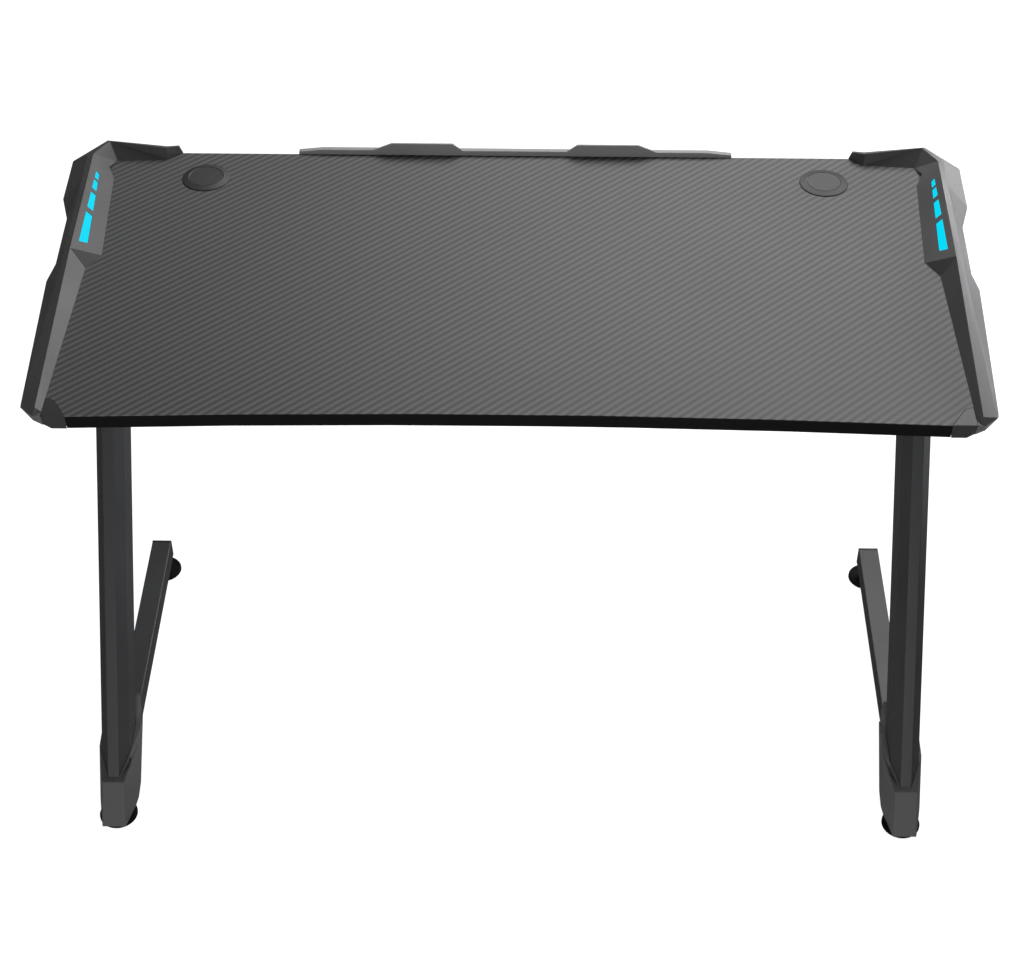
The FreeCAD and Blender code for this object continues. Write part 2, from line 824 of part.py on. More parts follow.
def column_points(z, wall):
    """Eight corners of the column's level section, moved inwards by its wall."""
    half = column_width / 2 - wall
    flat = column_flat / 2 - wall / 2
    front = column_front(z) + wall
    rear = column_front(z) + column_run - wall
    run = column_chamfer_run
    corners = ((-flat, front), (flat, front), (half, front + run), (half, rear - run),
               (flat, rear), (-flat, rear), (-half, rear - run), (-half, front + run))
    return [FreeCAD.Vector(leg_x + x, y, z) for x, y in corners]


def make_column():
    height = top_rail_bottom - foot_rail_top
    slope = FreeCAD.Vector(0, lean * height, height)
    return tube(column_points(foot_rail_top, 0), column_points(foot_rail_top, column_wall), slope)


def boot_points(z, wall):
    half = boot_half_width - wall
    flat = boot_flat / 2 - wall / 2
    front = column_front(z) - boot_face + wall
    turn = front + boot_chamfer_run
    rear = column_front(z) + column_run
    corners = ((-flat, front), (flat, front), (half, turn), (half, rear), (-half, rear), (-half, turn))
    return [FreeCAD.Vector(leg_x + x, y, z) for x, y in corners]


def boot_ring(places):
    """A ring around the leg; a place is a reach sideways, a run behind the column's front and a height."""
    right_side = [FreeCAD.Vector(leg_x + reach, column_front(z) + run, z)
                  for reach, run, z in places]
    left_side = [FreeCAD.Vector(leg_x - reach, column_front(z) + run, z)
                 for reach, run, z in reversed(places)]
    return right_side + left_side


def boot_wall_ring(base, rake):
    turn = boot_chamfer_run - boot_face
    return boot_ring(((boot_flat / 2, -boot_face, base),
                      (boot_half_width, turn, base + rake * boot_chamfer_run),
                      (boot_half_width, boot_middle_run, base + rake * (boot_middle_run + boot_face)),
                      (boot_half_width, column_run, base + rake * (column_run + boot_face))))


def boot_collar_ring():
    """The collar follows the column with a narrow lip and rises to a tongue at its rear end."""
    half = column_width / 2 + boot_collar_lip
    base = boot_notch_height
    return boot_ring(((column_flat / 2 + boot_collar_lip, -boot_collar_lip, base),
                      (half, column_chamfer_run - boot_collar_lip, base + boot_collar_rise),
                      (half, boot_middle_run, base + boot_collar_rise),
                      (half, column_run, base + boot_tongue)))


def leaning_prism(points, height):
    return flat_face(points).extrude(FreeCAD.Vector(0, lean * height, height))


def make_boot():
    height = boot_notch_height + boot_tongue
    top = boot_bottom + height
    boot = skin([boot_wall_ring(boot_bottom, 0),
                 boot_wall_ring(boot_shoulder, boot_rake),
                 boot_collar_ring()])
    left_x = leg_x - boot_half_width - overrun
    across = right * (boot_half_width * 2 + overrun * 2)
    sole_end = front_y + boot_sole_run
    sole = [FreeCAD.Vector(left_x, sole_end, boot_bottom),
            FreeCAD.Vector(left_x, back_y, boot_bottom + boot_sole_rake * (back_y - sole_end)),
            FreeCAD.Vector(left_x, back_y, boot_bottom - overrun),
            FreeCAD.Vector(left_x, sole_end, boot_bottom - overrun)]
    boot = boot.cut(flat_face(sole).extrude(across))
    rear_low = front_y + boot_low_run
    rear = [FreeCAD.Vector(left_x, rear_low - boot_rear_rake * overrun, boot_bottom - overrun),
            FreeCAD.Vector(left_x, rear_low + boot_rear_rake * height, top),
            FreeCAD.Vector(left_x, back_y, top),
            FreeCAD.Vector(left_x, back_y, boot_bottom - overrun)]
    boot = boot.cut(flat_face(rear).extrude(across))
    boot = boot.cut(leaning_prism(boot_points(boot_bottom, boot_wall), boot_cavity_height))
    start = boot_bottom - overrun
    grown = [FreeCAD.Vector(point.x + math.copysign(clearance, point.x - leg_x), point.y, point.z)
             for point in column_points(start, -clearance)]
    boot = boot.cut(leaning_prism(grown, desk_height / 2))
    half = rail_width / 2 + clearance
    low = foot_height - clearance
    high = foot_rail_top + clearance
    room = foot_rail_block(half, ((column_front(low) - clearance, low), (back_y, low),
                                  (back_y, high), (column_front(high) - clearance, high)))
    return boot.cut(room).removeSplitter()


def make_rail_plug(x, y, facing, low, body_low):
    """A push-in end plug; facing is 1 at the back end of a rail and -1 at its front end."""
    half = rail_width / 2
    fit = half - rail_wall - clearance
    plate = box(x - half, x + half, min(y, y + facing * plug_plate), max(y, y + facing * plug_plate),
                low, low + rail_height)
    body = box(x - fit, x + fit, min(y, y - facing * plug_depth), max(y, y - facing * plug_depth),
               body_low, low + rail_height - rail_wall - clearance)
    return plate.fuse(body).removeSplitter()


def make_beam(y):
    half = beam_width / 2
    reach = leg_x - rail_width / 2 - end_plate
    outer = box(-reach, reach, y - half, y + half, top_rail_bottom, board_bottom)
    inner = box(-reach - overrun, reach + overrun, y - half + rail_wall, y + half - rail_wall,
                top_rail_bottom + rail_wall, board_bottom - rail_wall)
    return outer.cut(inner)


def make_end_plate(y):
    rail_inner = leg_x - rail_width / 2
    plate = box(rail_inner - end_plate, rail_inner, y - end_plate_length / 2, y + end_plate_length / 2,
                top_rail_bottom, board_bottom)
    for place in beam_bolt_spots():
        plate = plate.cut(cylinder(beam_bolt_radius + clearance, place - right * (end_plate + overrun), right,
                                   end_plate + overrun * 2))
    return plate


def make_beam_bolt(place):
    head_x = place - right * (end_plate + beam_bolt_head)
    head = cylinder(beam_bolt_head_radius, head_x, right, beam_bolt_head)
    shank = cylinder(beam_bolt_radius, head_x, right,
                     beam_bolt_head + end_plate + rail_wall + beam_nut + beam_bolt_tail)
    return head.fuse(shank).removeSplitter()


def make_beam_nut(place):
    start = place + right * rail_wall
    corners = []
    for i in range(6):
        angle = math.radians(60 * i)
        corners.append(start + back * (beam_bolt_head_radius * math.cos(angle))
                       + up * (beam_bolt_head_radius * math.sin(angle)))
    nut = flat_face(corners).extrude(right * beam_nut)
    return nut.cut(cylinder(beam_bolt_radius + clearance, place, right, rail_width / 2))


def make_top_bolt(y):
    head_place = FreeCAD.Vector(leg_x, y, top_rail_bottom - top_bolt_head)
    head = cylinder(top_bolt_head_radius, head_place, up, top_bolt_head)
    shank = cylinder(top_bolt_radius, head_place, up, top_bolt_head + rail_height + top_bolt_bite)
    return head.fuse(shank).removeSplitter()


def make_insert(y):
    place = FreeCAD.Vector(leg_x, y, board_bottom)
    body = cylinder(insert_radius, place, up, insert_length)
    return body.cut(cylinder(top_bolt_radius + clearance, place, up, insert_length))


def make_foot(spot):
    profile = (
        (0, 0),
        (foot_pad_radius - foot_pad_edge, 0),
        (foot_pad_radius, foot_pad_edge),
        (foot_pad_radius, foot_pad - foot_pad_edge),
        (foot_pad_radius - foot_pad_edge, foot_pad),
        (foot_hub_radius, foot_pad),
        (foot_hub_radius, foot_height - running_gap),
        (foot_stem_radius, foot_height - running_gap),
        (foot_stem_radius, foot_height + foot_stem_rise),
        (0, foot_height + foot_stem_rise),
    )
    return revolved(profile, spot)


def make_bush(spot):
    place = spot + up * foot_height
    body = cylinder(bush_radius, place, up, bush_length)
    return body.cut(cylinder(foot_stem_radius + running_gap, place, up, bush_length))


# Lamp controller: an open box screwed under the board, with its circuit, button and inlet


def box_x():
    return half_width - box_side_inset


def box_y():
    return lead_hole_spot(0).y


def box_ear_places():
    reach = box_length / 2 + box_ear / 2
    return (box_x() - reach, box_x() + reach)


def lead_z():
    return board_bottom - lead_drop


def button_x():
    return box_x() - box_length * button_place_share


def box_mid_z():
    return board_bottom - box_height / 2


def make_controller_box():
    half_x = box_length / 2
    half_y = box_depth / 2
    x = box_x()
    y = box_y()
    low = board_bottom - box_height
    shell = box(x - half_x, x + half_x, y - half_y, y + half_y, low, board_bottom)
    shell = shell.cut(box(x - half_x + box_wall, x + half_x - box_wall, y - half_y + box_wall,
                          y + half_y - box_wall, low + box_wall, board_bottom + overrun))
    for ear_x in box_ear_places():
        ear = box(ear_x - box_ear / 2, ear_x + box_ear / 2, y + lead_radius * 2, y + half_y,
                  board_bottom - box_ear_thickness, board_bottom)
        shell = shell.fuse(ear)
    for post_x in (x - half_x / 2, x + half_x / 2):
        post_place = FreeCAD.Vector(post_x, y, low + box_wall)
        shell = shell.fuse(cylinder(circuit_post_radius, post_place, up, circuit_drop))
    cuts = []
    for ear_x in box_ear_places():
        ear_place = FreeCAD.Vector(ear_x, box_screw_y(), low)
        cuts.append(cylinder(box_screw_radius + clearance, ear_place, up, box_height + overrun))
    lead_place = FreeCAD.Vector(x - half_x - overrun, y, lead_z())
    cuts.append(cylinder(lead_radius + clearance, lead_place, right, box_length + overrun * 2))
    front_place = FreeCAD.Vector(button_x(), y - half_y - overrun, box_mid_z())
    cuts.append(cylinder(button_radius + running_gap, front_place, back, overrun + box_wall * 2))
    rear_place = FreeCAD.Vector(x, y + half_y - box_wall * 2, box_mid_z())
    cuts.append(cylinder(inlet_radius + clearance, rear_place, back, overrun + box_wall * 2))
    return shell.cut(cuts).removeSplitter()


def box_screw_y():
    return box_y() + (lead_radius * 2 + box_depth / 2) / 2


def make_box_screw(x):
    place = FreeCAD.Vector(x, box_screw_y(), board_bottom - box_ear_thickness - box_screw_head)
    head = cylinder(box_screw_head_radius, place, up, box_screw_head)
    length = box_screw_head + box_ear_thickness + box_screw_bite - clearance
    shank = cylinder(box_screw_radius, place, up, length)
    return head.fuse(shank).removeSplitter()


def make_circuit():
    margin = box_wall + circuit_margin
    half_x = box_length / 2 - margin
    half_y = box_depth / 2 - margin
    low = board_bottom - box_height + box_wall + circuit_drop
    plate = box(box_x() - half_x, box_x() + half_x, box_y() - half_y, box_y() + half_y,
                low, low + circuit_thickness)
    press_y = box_y() - box_depth / 2 + box_wall + running_gap + button_flange + button_travel + running_gap
    switch = box(button_x() - switch_size / 2, button_x() + switch_size / 2, press_y, press_y + switch_size,
                 low + circuit_thickness, low + circuit_thickness + switch_size)
    return group([plate, switch])


def make_button():
    face_y = box_y() - box_depth / 2
    flange_y = face_y + box_wall + running_gap
    place = FreeCAD.Vector(button_x(), flange_y + button_flange, box_mid_z())
    flange = cylinder(button_flange_radius, place, back * -1, button_flange)
    cap = cylinder(button_radius, place, back * -1, button_length)
    return flange.fuse(cap).removeSplitter()


def make_inlet():
    wall_y = box_y() + box_depth / 2 - box_wall
    place = FreeCAD.Vector(box_x(), wall_y - inlet_flange - clearance, box_mid_z())
    flange = cylinder(inlet_flange_radius, place, back, inlet_flange)
    body = cylinder(inlet_radius, place, back, inlet_length)
    bore = cylinder(inlet_bore_radius, place + back * inlet_flange, back, inlet_length)
    pin = cylinder(inlet_pin_radius, place, back, inlet_length)
    return flange.fuse(body).cut(bore).fuse(pin).removeSplitter()


# Leads run straight under the board, turn up through a hole and end below the light board


def make_lead(side):
    hole = lead_hole_spot(lead_z())
    light_low = -cover_wall - clearance - diffuser_plate - light_gap - light_board_thickness
    under = lamp_point(lead_along, lead_up, light_low)
    slope_drop = lead_radius * math.hypot(lamp_normal.x, lamp_normal.y) / lamp_normal.z
    shift = (hole.x - under.x) * lamp_normal.x + (hole.y - under.y) * lamp_normal.y
    end_z = under.z - shift / lamp_normal.z - slope_drop - running_gap
    start_x = box_x() + side * (box_length / 2 - box_wall)
    end_x = side * hole.x
    y = hole.y
    bend = lead_drop
    start = FreeCAD.Vector(start_x, y, lead_z())
    turn = FreeCAD.Vector(end_x - side * bend, y, lead_z())
    middle = FreeCAD.Vector(end_x - side * bend * (1 - math.sin(math.pi / 4)), y,
                            lead_z() + bend * (1 - math.cos(math.pi / 4)))
    rise = FreeCAD.Vector(end_x, y, lead_z() + bend)
    end = FreeCAD.Vector(end_x, y, end_z)
    edges = [Part.LineSegment(start, turn).toShape(), Part.Arc(turn, middle, rise).toShape(),
             Part.LineSegment(rise, end).toShape()]
    path = Part.Wire(edges)
    ring = Part.Wire(Part.makeCircle(lead_radius, start, right))
    lead = path.makePipeShell([ring], True, False)
    return lead


def make_clip(x):
    y = box_y()
    low = lead_z() - lead_radius - clip_floor
    block = box(x - clip_width / 2, x + clip_width / 2, y - clip_depth / 2, y + clip_depth / 2,
                low, board_bottom)
    start = FreeCAD.Vector(x - clip_width, y, lead_z())
    return block.cut(cylinder(lead_radius + clearance, start, right, clip_width * 2))


def clip_places():
    places = []
    for side, shares in ((-1, left_clip_shares), (1, right_clip_shares)):
        start = box_x() + side * (box_length / 2 + box_ear)
        end = side * (lead_hole_spot(0).x - lead_drop - clip_width)
        places += [start + (end - start) * share for share in shares]
    return places


# Write every piece
os.makedirs("parts", exist_ok=True)
export("desktop_board", make_board())
export("desktop_laminate", make_laminate())
export("front_edge_band", make_edge_band())
export_pair("front_corner_cap", make_corner_cap())
export_pair("side_cover", make_side_cover())
export_pair("lamp_diffuser", make_diffuser())
export_pair("lamp_light_board", make_light_board())
right_cover_screws = [make_cover_screw(shares) for shares in boss_shares]
export("cover_screws", group(right_cover_screws + [mirrored(screw) for screw in right_cover_screws]))
export("rear_trim", make_trim())
export("rear_trim_screws", group([make_trim_screw(place) for place in trim_screw_spots()]))
for side, side_name in ((-1, "left"), (1, "right")):
    export("cable_sleeve_" + side_name, make_sleeve(side))
    export("cable_lid_" + side_name, make_lid(side))
export_pair("top_rail", make_top_rail())
export_pair("column", make_column())
export_pair("foot_rail", make_foot_rail())
export_pair("boot", make_boot())
plug_low = top_rail_bottom + rail_wall + clearance
top_plugs = [make_rail_plug(leg_x, top_rail_front, -1, top_rail_bottom, plug_low),
             make_rail_plug(leg_x, top_rail_back, 1, top_rail_bottom, plug_low)]
export("top_rail_plugs", group(top_plugs + [mirrored(plug) for plug in top_plugs]))
stem_top = foot_height + foot_stem_rise + running_gap
foot_plug_x = foot_rail_x(foot_rail_back)
export_pair("foot_rail_plug", make_rail_plug(foot_plug_x, foot_rail_back, 1, foot_height, stem_top))
for y, place_name in zip(beam_centers(), ("front", "rear")):
    export("cross_beam_" + place_name, make_beam(y))
right_plates = [make_end_plate(y) for y in beam_centers()]
export("beam_end_plates", group(right_plates + [mirrored(plate) for plate in right_plates]))
right_bolts = [make_beam_bolt(place) for place in beam_bolt_spots()]
export("beam_bolts", group(right_bolts + [mirrored(bolt) for bolt in right_bolts]))
right_nuts = [make_beam_nut(place) for place in beam_bolt_spots()]
export("beam_nuts", group(right_nuts + [mirrored(nut) for nut in right_nuts]))
right_top_bolts = [make_top_bolt(y) for y in top_bolt_places()]
export("desktop_bolts", group(right_top_bolts + [mirrored(bolt) for bolt in right_top_bolts]))
right_inserts = [make_insert(y) for y in top_bolt_places()]
export("desktop_inserts", group(right_inserts + [mirrored(insert) for insert in right_inserts]))
for spot, place_name in zip(foot_spots(), ("front", "rear")):
    export_pair("levelling_foot_" + place_name, make_foot(spot))
right_bushes = [make_bush(spot) for spot in foot_spots()]
export("foot_bushes", group(right_bushes + [mirrored(bush) for bush in right_bushes]))
export("controller_box", make_controller_box())
export("controller_circuit", make_circuit())
export("controller_button", make_button())
export("controller_inlet", make_inlet())
export("controller_screws", group([make_box_screw(x) for x in box_ear_places()]))
export("lamp_lead_left", make_lead(-1))
export("lamp_lead_right", make_lead(1))
export("lead_clips", group([make_clip(x) for x in clip_places()]))
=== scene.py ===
import math

import bmesh
import bpy
from mathutils import Matrix, Vector


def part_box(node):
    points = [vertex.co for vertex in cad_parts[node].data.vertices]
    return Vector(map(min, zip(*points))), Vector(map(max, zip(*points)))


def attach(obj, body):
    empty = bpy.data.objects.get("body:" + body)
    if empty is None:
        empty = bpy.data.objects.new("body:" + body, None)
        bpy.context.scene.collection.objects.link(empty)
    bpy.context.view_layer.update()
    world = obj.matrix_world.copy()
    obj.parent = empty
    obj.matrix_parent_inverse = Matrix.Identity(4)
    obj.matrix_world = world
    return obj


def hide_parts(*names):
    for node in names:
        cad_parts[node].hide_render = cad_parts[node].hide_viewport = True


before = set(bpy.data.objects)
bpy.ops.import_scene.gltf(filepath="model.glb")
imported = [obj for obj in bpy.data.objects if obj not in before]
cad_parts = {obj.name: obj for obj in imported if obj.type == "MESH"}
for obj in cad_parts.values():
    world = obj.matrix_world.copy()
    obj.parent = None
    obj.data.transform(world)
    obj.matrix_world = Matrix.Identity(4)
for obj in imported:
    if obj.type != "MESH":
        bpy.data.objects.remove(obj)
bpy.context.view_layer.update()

# Leg frames: foot rail, leaning column and top rail on each side.
# They are welded from steel tube with rolled corners, ground at the ends,
# and powder coated as one frame in a dark satin grey.
sides = ("left", "right")
tube_corner = 0.0016
column_corner = 0.0011
column_seat_length = 0.096
leg_bead = 0.0026
seat_bead_inset = 0.006
corner_inset = 0.009
foot_bead_span = (0.016, 0.08)
frame_grey = (0.048, 0.049, 0.052)


def outline(node, merge=0.00002):
    """A merged copy of a piece's shape, with flat faces made whole."""
    flat_angle = math.radians(0.6)
    shape = bmesh.new()
    shape.from_mesh(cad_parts[node].data)
    bmesh.ops.remove_doubles(shape, verts=shape.verts[:], dist=merge)
    bmesh.ops.dissolve_limit(shape, angle_limit=flat_angle, use_dissolve_boundaries=False,
                             verts=shape.verts[:], edges=shape.edges[:], delimit=set())
    return shape


def ease_edges(shape, radius, steps, least_angle):
    """Rounds the outer edges that have room for it.

    It also marks the rounded faces, which the finishes paint lighter as a painted highlight
    along the edges.
    """
    room = radius * 2.4
    sharp = []
    for edge in shape.edges:
        if len(edge.link_faces) != 2:
            continue
        if edge.calc_face_angle_signed(0.0) < math.radians(least_angle):
            continue
        beside = [other.calc_length() for vert in edge.verts for other in vert.link_edges]
        if min(beside) > room:
            sharp.append(edge)
    eased = bmesh.ops.bevel(shape, geom=sharp, offset=radius, offset_type="OFFSET",
                            segments=steps, profile=0.5, affect="EDGES", clamp_overlap=True,
                            material=-1)
    # The rounded faces are marked so that the finishes can paint a highlight on them.
    edge_highlight = shape.faces.layers.float.new("painted_edge_highlight")
    for face in eased["faces"]:
        if face.is_valid:
            face[edge_highlight] = 1.0
    return shape


def put_on(name, shape, body, slot, finish, *nodes, crease=30.0):
    """Makes the mesh an object with its finish, on its body, in place of the named nodes."""
    mesh = bpy.data.meshes.new(name)
    edge_highlight = shape.faces.layers.float.get("painted_edge_highlight")
    for face in shape.faces:
        face.smooth = True
    for edge in shape.edges:
        rounded = edge_highlight is not None and any(face[edge_highlight] > 0.5 for face in edge.link_faces)
        edge.smooth = rounded or edge.calc_face_angle(0.0) < math.radians(crease)
    shape.to_mesh(mesh)
    shape.free()
    piece = bpy.data.objects.new(name, mesh)
    bpy.context.scene.collection.objects.link(piece)
    mesh.materials.append(finish)
    even = piece.modifiers.new("even_faces", "WEIGHTED_NORMAL")
    even.keep_sharp = True
    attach(piece, body)
    if nodes:
        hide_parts(*nodes)


def dress(name, node, slot, finish, radius, steps=2, least_angle=22.0, merge=0.00002,
          crease=30.0, body="desk"):
    """A node's own shape with eased edges and its finish, in place of the node."""
    shape = ease_edges(outline(node, merge), radius, steps, least_angle)
    put_on(name, shape, body, slot, finish, node, crease=crease)


def start_finish(name, specular=0.5, metallic=0.0):
    """A new material and its shader."""
    finish = bpy.data.materials.new(name)
    finish.use_nodes = True
    shader = finish.node_tree.nodes["Principled BSDF"]
    shader.inputs["Metallic"].default_value = metallic
    shader.inputs["Specular IOR Level"].default_value = specular
    return finish, shader


def add_node(finish, kind, **settings):
    node = finish.node_tree.nodes.new(kind)
    for key, value in settings.items():
        setattr(node, key, value)
    return node


def join(finish, source, target):
    finish.node_tree.links.new(source, target)


def noise(finish, scale, detail=2.0, stretch=(1.0, 1.0, 1.0)):
    """Noise in the piece's own metres, stretched along an axis where the making leaves lines."""
    place = add_node(finish, "ShaderNodeTexCoord")
    mapping = add_node(finish, "ShaderNodeMapping")
    mapping.inputs["Scale"].default_value = stretch
    texture = add_node(finish, "ShaderNodeTexNoise")
    texture.inputs["Scale"].default_value = scale
    texture.inputs["Detail"].default_value = detail
    join(finish, place.outputs["Object"], mapping.inputs["Vector"])
    join(finish, mapping.outputs["Vector"], texture.inputs["Vector"])
    return texture.outputs["Fac"]


def ramp(finish, source, *stops):
    """Colours along a value, each given as (place, colour)."""
    node = add_node(finish, "ShaderNodeValToRGB")
    bar = node.color_ramp
    while len(bar.elements) < len(stops):
        bar.elements.new(0.5)
    for element, (place, colour) in zip(bar.elements, stops):
        element.position = place
        element.color = (*colour, 1.0)
    join(finish, source, node.inputs["Fac"])
    return node.outputs["Color"]


def spread(finish, source, low, high):
    """A value moved from the middle band of a noise to the wanted range."""
    node = add_node(finish, "ShaderNodeMapRange")
    node.inputs["From Min"].default_value = 0.3
    node.inputs["From Max"].default_value = 0.7
    node.inputs["To Min"].default_value = low
    node.inputs["To Max"].default_value = high
    join(finish, source, node.inputs["Value"])
    return node.outputs["Result"]


def blend(finish, factor, first, second):
    """One colour over another by a factor; either may be a socket or a plain colour."""
    node = add_node(finish, "ShaderNodeMix", data_type="RGBA")
    join(finish, factor, node.inputs[0])
    for source, slot in ((first, node.inputs[6]), (second, node.inputs[7])):
        if isinstance(source, tuple):
            slot.default_value = (*source, 1.0)
        else:
            join(finish, source, slot)
    return node.outputs[2]


def relief(finish, shader, height, depth, strength=1.0):
    """Fine height on the surface, in metres."""
    node = add_node(finish, "ShaderNodeBump")
    node.inputs["Distance"].default_value = depth
    node.inputs["Strength"].default_value = strength
    join(finish, height, node.inputs["Height"])
    join(finish, node.outputs["Normal"], shader.inputs["Normal"])


def shaded(colour, share):
    return tuple(part * share for part in colour)


def grained(name, colour, rough, grain, depth, edge_highlight, specular=0.5):
    """Moulded or coated surface: fine grain in relief, uneven gloss, mottling, and a painted
    highlight on rounded edges.
    """
    mottle_scale = 9.0
    speck_grey = (0.9, 0.9, 0.9)
    finish, shader = start_finish(name, specular)
    fine = noise(finish, grain, detail=3.0)
    broad = noise(finish, mottle_scale, detail=4.0)
    body = ramp(finish, broad, (0.3, shaded(colour, 0.92)), (0.7, shaded(colour, 1.08)))
    speck = ramp(finish, fine, (0.35, speck_grey), (0.65, (1.0, 1.0, 1.0)))
    tint = add_node(finish, "ShaderNodeMix", data_type="RGBA", blend_type="MULTIPLY")
    tint.inputs[0].default_value = 1.0
    join(finish, body, tint.inputs[6])
    join(finish, speck, tint.inputs[7])
    edge = add_node(finish, "ShaderNodeAttribute", attribute_name="painted_edge_highlight")
    # The rounded edges are painted lighter by the edge factor, a painted highlight along them.
    highlighted_edges = blend(finish, edge.outputs["Fac"], tint.outputs[2], shaded(colour, edge_highlight))
    join(finish, highlighted_edges, shader.inputs["Base Color"])
    gloss = spread(finish, broad, rough - 0.05, rough + 0.06)
    join(finish, gloss, shader.inputs["Roughness"])
    relief(finish, shader, fine, depth)
    return finish


def weld_bead(shape, start, end, radius):
    """A rippled bead laid from start to end along a joint."""
    corners = 8
    ripple = 0.0028
    tip = radius * 0.35
    trough = radius * 0.8
    run = end - start
    steps = 2 * max(4, int(run.length / ripple))
    turn = Vector((0.0, 0.0, 1.0)).rotation_difference(run.normalized()).to_matrix().to_4x4()
    ring = bmesh.ops.create_circle(shape, cap_ends=False, segments=corners, radius=tip,
                                   matrix=Matrix.Translation(start) @ turn)["verts"]
    edges = list({edge for vert in ring for edge in vert.link_edges})
    first = edges
    for number in range(steps):
        made = bmesh.ops.extrude_edge_only(shape, edges=edges)["geom"]
        ring = [item for item in made if isinstance(item, bmesh.types.BMVert)]
        edges = [item for item in made if isinstance(item, bmesh.types.BMEdge)
                 and all(vert in ring for vert in item.verts)]
        bmesh.ops.translate(shape, verts=ring, vec=run / steps)
        middle = sum((vert.co for vert in ring), Vector()) / len(ring)
        width = radius if number % 2 == 0 else trough
        if number == steps - 1:
            width = tip
        size = sum((vert.co - middle).length for vert in ring) / len(ring)
        bmesh.ops.scale(shape, verts=ring, vec=Vector((1.0, 1.0, 1.0)) * (width / size),
                        space=Matrix.Translation(-middle))
    bmesh.ops.holes_fill(shape, edges=first + edges, sides=corners)


frame_paint = grained("frame_powder_coat", frame_grey, rough=0.44, grain=520.0, depth=0.00012,
                      edge_highlight=1.25)
tubes = (("foot_rail", tube_corner), ("column", column_corner), ("top_rail", tube_corner))
for side in sides:
    for tube, corner in tubes:
        dress(tube + "_tube_" + side, tube + "_" + side, "frame_paint", frame_paint, corner,
              steps=3, crease=12.0)
    rail_low, rail_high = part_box("top_rail_" + side)
    column_low, column_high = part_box("column_" + side)
    foot_low, foot_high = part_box("foot_rail_" + side)
    beads = bmesh.new()
    seat_front = column_high.y - column_seat_length
    for x in (rail_low.x, rail_high.x):
        weld_bead(beads, Vector((x, seat_front + seat_bead_inset, rail_low.z)),
                  Vector((x, rail_high.y, rail_low.z)), leg_bead)
    weld_bead(beads, Vector((rail_low.x + corner_inset, seat_front, rail_low.z)),
              Vector((rail_high.x - corner_inset, seat_front, rail_low.z)), leg_bead)
    outward = math.copysign(1.0, rail_low.x)
    tube_width = rail_high.x - rail_low.x
    splay = (foot_high.x - foot_low.x - tube_width) / (foot_high.y - foot_low.y)
    inner_x = min(foot_low.x, foot_high.x, key=abs)
    for reach in (0.0, tube_width):
        ends = []
        for inset in foot_bead_span:
            y = column_low.y + inset
            x = inner_x + outward * (reach + splay * (y - foot_low.y))
            ends.append(Vector((x, y, foot_high.z)))
        weld_bead(beads, ends[0], ends[1], leg_bead)
    bmesh.ops.recalc_face_normals(beads, faces=beads.faces[:])
    put_on("leg_welds_" + side, beads, "desk", "frame_paint", frame_paint)

# End plugs of the rails: black push-in plugs moulded in soft plastic.
# Their plates sit flush on the tube ends, and ribs on their bodies hold them in.
plug_edge = 0.0014
plug_finish = grained("plug_black_plastic", (0.02, 0.02, 0.021), rough=0.52, grain=900.0,
                      depth=0.00006, edge_highlight=1.8)
for node in ("top_rail_plugs", "foot_rail_plug_left", "foot_rail_plug_right"):
    dress(node + "_moulded", node, "plug_plastic", plug_finish, plug_edge, steps=3)

# Boots: hollow plastic shoes that hide the weld of column and foot rail.
# They are moulded in textured grey, with softened corners, and clip on from below.
boot_edge = 0.0016
boot_finish = grained("boot_textured_plastic", (0.107, 0.107, 0.111), rough=0.5, grain=760.0,
                      depth=0.00012, edge_highlight=1.5)
for side in sides:
    dress("boot_shoe_" + side, "boot_" + side, "boot_plastic", boot_finish, boot_edge, steps=3,
          least_angle=14.0, merge=0.0003, crease=5.0)

# Levelling feet: black rubbery pads moulded on threaded steel stems.
# Each stem screws into a brass bush that is pressed into the foot rail.
pad_height = 0.0075
groove_floor = 0.0069
hub_radius = 0.009
hub_top = 0.0247
hub_rounding = 0.0012
stem_radius = 0.004
stem_core = 0.0034
stem_top = 0.037
stem_chamfer = 0.0008
thread_pitch = 0.00125
thread_depth = 0.0007
thread_start = hub_top + 0.0006
thread_end = stem_top - 0.0022
bush_edge = 0.0003
foot_finish = grained("foot_black_rubber", (0.004, 0.004, 0.0044), rough=0.7, grain=1100.0,
                      depth=0.00008, edge_highlight=1.9, specular=0.15)


def spun(shape, profile, center, steps=64):
    """A round piece from its half profile, given as (radius, height)."""
    verts = [shape.verts.new((center.x + radius, center.y, center.z + height))
             for radius, height in profile]
    edges = [shape.edges.new(pair) for pair in zip(verts, verts[1:])]
    bmesh.ops.spin(shape, geom=verts + edges, cent=center, axis=(0.0, 0.0, 1.0),
                   dvec=(0.0, 0.0, 0.0), angle=math.tau, steps=steps, use_merge=True)
    bmesh.ops.remove_doubles(shape, verts=shape.verts[:], dist=0.000005)
    bmesh.ops.recalc_face_normals(shape, faces=shape.faces[:])


def thread(shape, center, low, high):
    """A screw thread: one closed tooth swept up round the stem, with capped ends."""
    steps = 20
    turns = (high - low) / thread_pitch
    root = stem_radius - thread_depth
    tooth = ((root, 0.0), (stem_radius, thread_pitch * 0.4), (stem_radius, thread_pitch * 0.55),
             (root, thread_pitch * 0.95))
    verts = [shape.verts.new((center.x + out, center.y, low + rise)) for out, rise in tooth]
    edges = [shape.edges.new(pair) for pair in zip(verts, verts[1:] + verts[:1])]
    bmesh.ops.spin(shape, geom=verts + edges, cent=center, axis=(0.0, 0.0, 1.0),
                   dvec=(0.0, 0.0, thread_pitch / steps), angle=math.tau * turns,
                   steps=int(steps * turns), use_merge=False)
    rims = [edge for edge in shape.edges if edge.is_boundary]
    bmesh.ops.holes_fill(shape, edges=rims, sides=len(tooth))
    bmesh.ops.recalc_face_normals(shape, faces=shape.faces[:])


